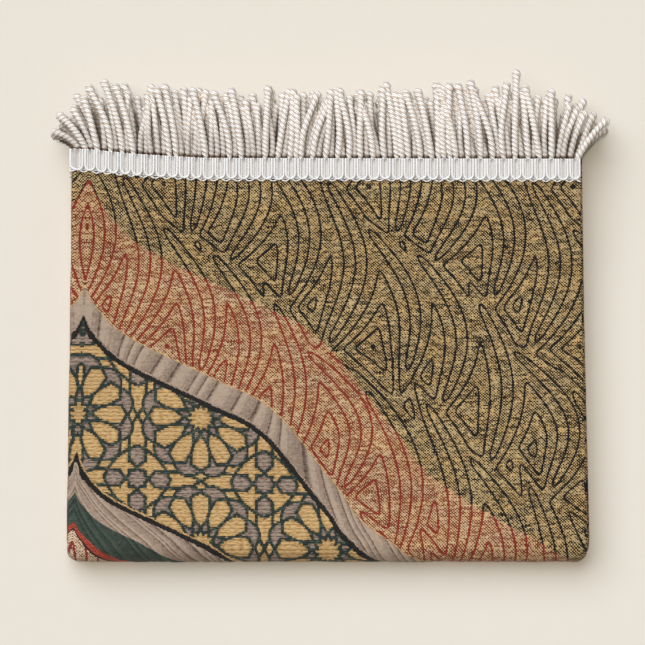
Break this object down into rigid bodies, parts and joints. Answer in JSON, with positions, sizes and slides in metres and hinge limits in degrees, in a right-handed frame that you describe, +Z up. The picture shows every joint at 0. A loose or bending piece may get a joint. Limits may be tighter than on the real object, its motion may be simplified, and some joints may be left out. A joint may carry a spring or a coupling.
{
  "type": "folded prayer rug",
  "caption": "Chenille prayer rug folded lengthwise and crosswise into a flat bundle, with braided heading tapes and twisted cord fringes together at one edge.",
  "frame": {"origin": "centre of the bounding box in plan, at the surface the bundle lies on", "axes": "+Z up from the surface, +Y towards the fringe, +X away from the lengthwise fold along the fringed edge"},
  "size_m": [0.3802, 0.3292, 0.037],
  "materials": {
    "cloth": "matte woven chenille in khaki and black, terracotta, taupe, gold and dark green",
    "tape": "satin white braided tape",
    "cords": "silky off-white twisted cord"
  },
  "bodies": {
    "root": {"rug": "cloth", "fringe_tape_a": "tape", "fringe_cords_a": "cords", "fringe_tape_b": "tape", "fringe_cords_b": "cords"}
  },
  "joints": []
}
